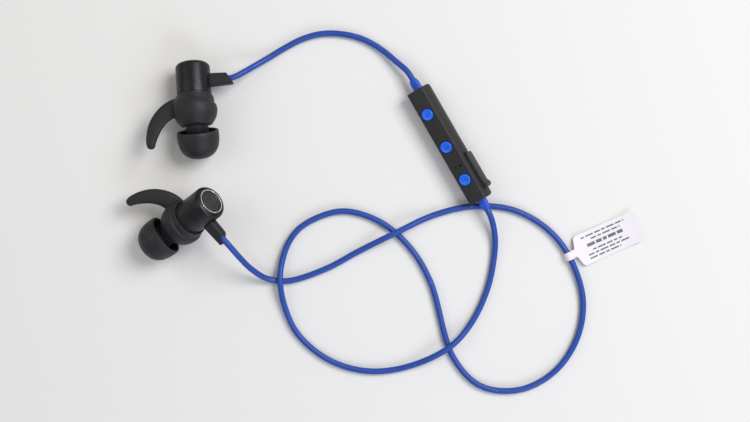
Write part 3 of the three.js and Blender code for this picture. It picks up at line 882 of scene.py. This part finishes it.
def make_ear_wing(name, bend, tilt):
    """A sleeve with a narrower collar at its back and a raised lip, with a curved fin grown from its side."""
    outer, inner, rear, mouth, neck_room = 7.65, 6.15, -4.4, 4.5, 4.2
    lip, slant = -2.2, 0.12  # where the lip is, and how far it leans along X
    start = math.degrees(math.asin(lip / outer))
    end = math.degrees(math.acos(mouth / outer))
    front = math.sqrt(outer**2 - mouth**2)
    collar = [(0, rear), (6.45, rear), (6.6, rear + 0.15), (6.85, lip - 0.35), (7.0, lip - 0.1)]
    wing = lathe(name, [*collar, *arc(0, 0, outer, start, end, 24), (0, front)])
    for vertex in wing.data.vertices:
        if rear + 0.2 < vertex.co.y < lip + 1.2:
            vertex.co.y += slant * vertex.co.x
    fin = turn(loft("fin", fin_sections()), Matrix.Rotation(math.radians(tilt), 4, "X"))
    combine(wing, fin, "UNION")
    dome = arc(0, 0, inner, 0, 90, 20)[:-1]
    combine(wing, lathe("room", [(0, rear - 1), (inner, rear - 1), *dome, (0, inner)]))
    for share in (-1, -0.5, 0, 0.5, 1):
        opening = lathe("opening", [(0, 1), (neck_room, 1), (neck_room, 12), (0, 12)])
        along_nozzle(opening, bend)
        combine(wing, turn(opening, Matrix.Rotation(math.radians(WING_TURN * share), 4, "Y")))
    remesh = wing.modifiers.new("grow", "REMESH")
    remesh.mode = "VOXEL"
    remesh.voxel_size = 0.16
    smooth = wing.modifiers.new("even", "SMOOTH")
    smooth.factor = 0.5
    smooth.iterations = 5
    return apply_modifiers(wing)


def make_cable_arm(name, lean):
    """A rubber arm with round edges, whose end is cut aslant. It leans a little with the cord."""
    depth, cap_reach, tip_reach = 3.3, 11.5, 13.9
    root, root_width, end_width = 5.2, 4.7, 4.1
    edge = 0.3  # radius round the slanted end

    def section(share, inset):
        ring = []
        width = root_width + (end_width - root_width) * share
        for y, z in rounded_ring(width - 2 * inset, depth - 2 * inset, 1 - inset):
            reach = cap_reach + (tip_reach - cap_reach) * (y / width + 0.5)
            ring.append((root + (reach - root) * share, ARM_Y + y, z))
        return ring

    sections = [section(i / 12 * 0.95, 0) for i in range(13)]
    for angle in (20, 45, 70, 90):
        t = math.radians(angle)
        sections.append(section(0.95 + 0.05 * math.sin(t), edge * (1 - math.cos(t))))
    arm = loft(name, sections)
    reach = (cap_reach + tip_reach) / 2
    narrow, wide = 1.3, 1.5
    cord_hole = [(0, reach - 2), (narrow, reach - 2), (narrow, reach - 0.2), (wide, reach + 4), (0, reach + 4)]
    along_arm = Matrix.Translation((0, ARM_Y, 0)) @ Matrix.Rotation(math.radians(-90), 4, "Z")
    combine(arm, turn(lathe("bore", cord_hole, 32), along_arm))
    pivot = Matrix.Translation((BARREL_RADIUS, ARM_Y, 0))
    turn(arm, pivot @ Matrix.Rotation(math.radians(-lean), 4, "Z") @ pivot.inverted())
    outside = BARREL_RADIUS + 0.03
    return combine(arm, lathe("barrel_room", [(0, -20), (outside, -20), (outside, 0), (0, 0)]))


def make_bud(side, turn_side, lean, tilt):
    place = bud_place(side)
    bend = turn_side * NOZZLE_BEND
    body = "earphones"
    metal = "anodised_metal"
    set_down(make_barrel(f"{side}_barrel_shell"), place, metal, body, metal, f"{side}_barrel")
    set_down(make_trim_ring(f"{side}_ring"), place, "bright_ring", body, "bright_ring", f"{side}_trim_ring")
    set_down(make_back_cap(f"{side}_cap"), place, "cap_metal", body, metal, f"{side}_back_cap")
    tip = make_ear_tip(f"{side}_tip", bend)
    set_down(tip, place, "silicone", f"{side}_tip", "silicone", f"{side}_ear_tip")
    wing = make_ear_wing(f"{side}_wing", bend, turn_side * tilt)
    set_down(wing, place, "silicone", f"{side}_wing", "silicone", f"{side}_ear_wing")
    housing = make_front_housing(f"{side}_nose", bend)
    set_down(housing, place, "housing_plastic", body, "housing", f"{side}_front_housing")
    set_down(make_cable_arm(f"{side}_arm", lean), place, "silicone", body, "silicone", f"{side}_cable_arm")


# ---------- remote ----------
POD_LENGTH = 44
FACE_HALF = 3.2
FACE_Z = 3.8
BELLY_RADIUS = 4.2
BELLY_Z = -0.2
SPLIT_Z = 2
FLANK = 16.6
WALL = 0.8
END_RADIUS = 3.2  # how the belly rounds up at both ends
END_RISE = 6.4
BUTTON_RADIUS = 2.05
BUTTONS = (("volume_up", -12.65), ("play", 0.3), ("volume_down", 13.2))
FACE_MOUNT_X = -6


def pod_place():
    """The remote's frame: the origin is mid-length, +X along it and +Z out of its button face."""
    face = mounts["remote_face"]
    out = Vector(face["axis"]).normalized()
    along = Vector((-out.y, out.x, 0)).normalized()
    rotation = Matrix((along, out.cross(along), out)).transposed()
    corner = rotation @ (Vector((FACE_MOUNT_X, 0, FACE_Z)) * MM)
    return Matrix.Translation(Vector(face["pos_m"]) - corner) @ rotation.to_4x4()


def pod_ring(inset, x):
    """The D-shaped section at x as points, lifted where the belly rounds up to the ends."""
    flank = math.radians(FLANK)
    radius = BELLY_RADIUS - inset
    half = FACE_HALF + inset * (math.tan(flank) - 1 / math.cos(flank))
    top = FACE_Z - inset
    edge = 0.3
    belly = arc(0, BELLY_Z, radius, 180 - FLANK, 360 + FLANK, 44)
    right = arc(half - edge, top - edge, edge, FLANK, 90, 5)
    left = arc(-half + edge, top - edge, edge, 90, 180 - FLANK, 5)
    rise = END_RISE - inset
    reach = POD_LENGTH / 2 - inset
    beyond = max(0.0, abs(x) - (reach - END_RADIUS)) / END_RADIUS
    floor = BELLY_Z - radius + rise * (1 - math.sqrt(max(0.0, 1 - min(1.0, beyond) ** 2)))
    return [(x, y, max(z, floor)) for y, z in belly + right + left]


def pod_body(name, inset):
    """The remote's outside, or its hollow when inset is the wall."""
    reach = POD_LENGTH / 2 - inset
    flat = reach - END_RADIUS
    xs = [flat + END_RADIUS * math.sin(math.radians(a)) for a in (0, 10, 20, 30, 40, 50, 60, 68, 75)]
    sections = [pod_ring(inset, -x) for x in reversed(xs)]
    sections += [pod_ring(inset, -flat + 2 * flat * i / 20) for i in range(1, 20)]
    sections += [pod_ring(inset, x) for x in xs]
    lip = reach - xs[-1]
    for sign in (-1, 1):
        ends = []
        for a in (30, 60, 90):
            t = math.radians(a)
            shrink = inset + lip * (1 - math.cos(t)) * 0.9
            x = xs[-1] + lip * math.sin(t)
            ring = pod_ring(shrink, xs[-1])
            ends.append([(sign * x, y, z) for _, y, z in ring])
        sections = sections + ends if sign > 0 else list(reversed(ends)) + sections
    return loft(name, sections)


def upright(name, profile, x, y=0, segments=64):
    """A lathe shape that stands along the remote's Z."""
    stand = Matrix.Translation((x, y, 0)) @ Matrix.Rotation(math.radians(90), 4, "X")
    return turn(lathe(name, profile, segments), stand)


def countersunk(name, radius, flare, x, y=0, segments=64):
    """A cutting tool for a round hole in the face, with its edge broken."""
    low, high = FACE_Z - flare, FACE_Z + flare
    profile = [(0, 1.5), (radius, 1.5), (radius, low), (radius + 2 * flare, high), (0, high)]
    return upright(name, profile, x, y, segments)


def make_top_shell():
    far = POD_LENGTH
    shell = pod_body("remote_top", 0)
    combine(shell, block("above", -far, far, -9, 9, SPLIT_Z + 0.05, 9), "INTERSECT")
    combine(shell, pod_body("hollow", WALL))
    for _, x in BUTTONS:
        combine(shell, countersunk("button_hole", BUTTON_RADIUS + 0.15, 0.12, x))
    for y in (1, -1):
        combine(shell, countersunk("small_hole", 0.42, 0.05, 8.1, y, 24))
    return shell


DOOR_X = (5.3, 19.2)
DOOR_Y = 3.75
DOOR_Z = (-2.4, 1.8)
DOOR_THICK = 0.9
PORT_X, PORT_Z = 11.5, -0.95


def make_bottom_shell():
    far = POD_LENGTH
    shell = pod_body("remote_bottom", 0)
    combine(shell, block("below", -far, far, -9, 9, -9, SPLIT_Z - 0.05), "INTERSECT")
    combine(shell, pod_body("hollow", WALL))
    combine(shell, block("relief_holes", -far, far, -1.1, 1.1, -1.1, 1.1))
    seat = (DOOR_X[0] - 0.4, DOOR_X[1] + 0.4, DOOR_Y - GAP, 6, DOOR_Z[0] - 0.3, DOOR_Z[1] + 0.15)
    combine(shell, block("door_seat", *seat))
    window = (PORT_X - 4.1, PORT_X + 4.1, 2, 6, PORT_Z - 1.35, PORT_Z + 1.35)
    return combine(shell, block("port_window", *window))


def plan_prism(name, outline, z0, z1):
    """An outline in the XY plane raised from z0 to z1."""
    return loft(name, [[(x, y, z) for x, y in outline] for z in (z0, z1)])


def make_door():
    """A rubber strip with a rolled hinge end, a thumb pull at the other and a plug for the port."""
    (x0, x1), (z0, z1) = DOOR_X, DOOR_Z
    half = DOOR_THICK / 2
    outline = arc(x0 + half, DOOR_Y + half, half, 90, 270, 12)
    outline += [(x1 - 0.1, DOOR_Y), (x1, DOOR_Y + 0.1)]
    outline += bezier(
        [
            (x1, DOOR_Y + DOOR_THICK + 0.3),
            (x1 - 0.3, DOOR_Y + DOOR_THICK + 0.75),
            (x1 - 1.6, DOOR_Y + DOOR_THICK + 0.75),
            (x1 - 1.9, DOOR_Y + DOOR_THICK + 0.3),
        ],
        10,
    )
    outline += arc(x1 - 2.5, DOOR_Y + DOOR_THICK + 0.25, 0.25, -10, -90, 5)
    door = plan_prism("remote_door", outline, z0, z1)

    def bar(name, x, z, ring, ends):
        """A bar along Y with the ring for its section, its middle line at x and z."""
        return loft(name, [[(x + a, y, z + b) for a, b in ring] for y in ends])

    facing = rounded_ring(x1 - x0, z1 - z0, 0.9)
    sides = bar("facing", (x0 + x1) / 2, (z0 + z1) / 2, facing, (DOOR_Y - 1, DOOR_Y + 3))
    combine(door, sides, "INTERSECT")
    soften(door, 0.12, 2, 40)
    plug = bar("plug", PORT_X, PORT_Z, rounded_ring(6.2, 1.3, 0.6), (DOOR_Y - 1.3, DOOR_Y + 0.3))
    return combine(door, plug, "UNION")


def make_button(name, x):
    """A cap with a bright broken edge, a dished top and an engraved sign."""
    top, base = 4.3, 2.5
    r = BUTTON_RADIUS
    profile = [
        (0, base),
        (r + 0.2, base),
        (r + 0.2, base + 0.35),
        (r, base + 0.35),
        (r, top - 0.32),
        *arc(r - 0.3, top - 0.3, 0.3, 0, 90, 6),
        (r - 0.42, top),
        (r - 0.6, top - 0.08),
        (r - 1.1, top - 0.14),
        (0, top - 0.17),
    ]
    cap = upright(f"{name}_cap", profile, x)
    deep, high = top - 0.42, top + 0.3
    long, thick = 0.85, 0.15  # half the length and half the width of a stroke
    if name in ("volume_up", "volume_down"):
        combine(cap, block("bar", x - thick, x + thick, -long, long, deep, high))
    if name == "volume_up":
        combine(cap, block("bar", x - long, x + long, -thick, thick, deep, high))
    if name == "play":
        ring = [(0.5, deep), (0.8, deep), (0.8, high), (0.5, high)]
        combine(cap, upright("ring", ring, x, 0, 32))
    return cap


def make_relief(name, end):
    """A square rubber boot with two shallow grooves, a little slimmer towards the cord."""
    start = POD_LENGTH / 2 + GAP
    stations = [
        (-1.95, 2.8),
        (-1.25, 2.8),
        (-1.2, 2.0),
        (-0.75, 2.0),
        (-0.7, 2.7),
        (0.12, 2.8),
        (0.8, 2.8),
        (0.9, 2.62),
        (1.1, 2.62),
        (1.2, 2.76),
        (1.75, 2.74),
        (1.85, 2.56),
        (2.05, 2.56),
        (2.15, 2.7),
        (2.8, 2.66),
        (2.95, 2.56),
        (3.05, 2.4),
        (3.7, 2.3),
        (3.8, 2.15),
    ]
    sections = []
    for x, side in stations:
        ring = rounded_ring(side, side, 0.18 * side)
        sections.append([(end * (start + x), a, b) for a, b in ring])
    return loft(name, sections)


def make_remote():
    place = pod_place()
    body = "earphones"
    plastic = "housing_plastic"
    set_down(make_top_shell(), place, plastic, body, "housing", "remote_top_shell")
    set_down(make_bottom_shell(), place, plastic, body, "housing", "remote_bottom_shell")
    set_down(make_door(), place, plastic, "door", "housing", "port_door")
    for name, x in BUTTONS:
        set_down(make_button(name, x), place, "button_plastic", name, "button_cap", f"{name}_button")
    for name, end in (("upper", -1), ("lower", 1)):
        relief = make_relief(f"{name}_relief", end)
        set_down(relief, place, "relief_rubber", body, "strain_relief", f"{name}_strain_relief")


# ---------- what stays as CAD ----------
CAD_LOOKS = {
    "driver_frame": "bare_metal",
    "driver_magnet": "bare_metal",
    "driver_diaphragm": "film",
    "nozzle_mesh": "mesh_metal",
    "circuit_board": "circuit_board",
    "bluetooth_chip": "housing_plastic",
    "battery_cell": "foil_pouch",
    "switch_base": "bare_metal",
    "switch_plunger": "circuit_board",
    "microphone": "gilt",
    "microphone_gasket": "silicone",
    "status_led": "clear_lens",
    "light_pipe": "clear_lens",
    "usb_receptacle": "bare_metal",
    "usb_tongue": "housing_plastic",
}


def finish_cad_nodes():
    """Smooth shading and a finish for the CAD nodes that show."""
    for name, node in frame["nodes"].items():
        if node.hide_render:
            continue
        look = next(LOOKS[look] for part, look in CAD_LOOKS.items() if name.endswith(part))
        node.data.materials.clear()
        node.data.materials.append(look)
        weld = node.modifiers.new("weld", "WELD")
        weld.merge_threshold = 0.01 * MM
        split = node.modifiers.new("split", "EDGE_SPLIT")
        split.split_angle = math.radians(35)
        node.data.shade_smooth()


# ---------- floor and light ----------
def make_floor():
    floor = build("floor", [(-1.5, -1.5, 0), (1.5, -1.5, 0), (1.5, 1.5, 0), (-1.5, 1.5, 0)], [[0, 1, 2, 3]])
    floor.data.materials.append(LOOKS["floor_paint"])
    floor.location.z = cad_low.z - 0.02 * MM


def make_light(name, place, size, power, colour=(1, 1, 1)):
    data = bpy.data.lights.new(name, "AREA")
    data.shape = "RECTANGLE"
    data.size, data.size_y = size
    data.energy = power
    data.color = colour
    light = bpy.data.objects.new(name, data)
    light.location = place
    aim = Vector((0.02, -0.02, 0)) - Vector(place)
    light.rotation_mode = "QUATERNION"
    light.rotation_quaternion = aim.to_track_quat("-Z", "Y")
    bpy.context.scene.collection.objects.link(light)


def make_studio():
    make_floor()
    make_light("key", (0.5, 0.3, 0.75), (0.5, 0.5), 6.5)
    make_light("window", (0.35, -0.6, 0.5), (0.4, 0.4), 2.2, (0.72, 0.8, 1.0))
    make_light("fill", (-0.7, 0.1, 0.7), (0.7, 0.7), 1.6, (1.0, 0.97, 0.94))
    world = bpy.data.worlds.new("studio")
    world.use_nodes = True
    sky = world.node_tree.nodes["Background"]
    sky.inputs["Color"].default_value = (1, 1, 1, 1)
    sky.inputs["Strength"].default_value = 0.3
    bpy.context.scene.world = world
    bpy.context.scene.view_settings.view_transform = "Standard"


upper, upper_path = make_cord("upper_cord_jacket", UPPER_ROUTE, "upper_cord")
lower, lower_path = make_cord("lower_cord_jacket", LOWER_ROUTE, "lower_cord")
tag = make_tag()
tag_print = make_tag_print()
make_bud("right", 1, 0, 12)
make_bud("left", -1, 10, 36)
make_remote()
finish_cad_nodes()
make_studio()
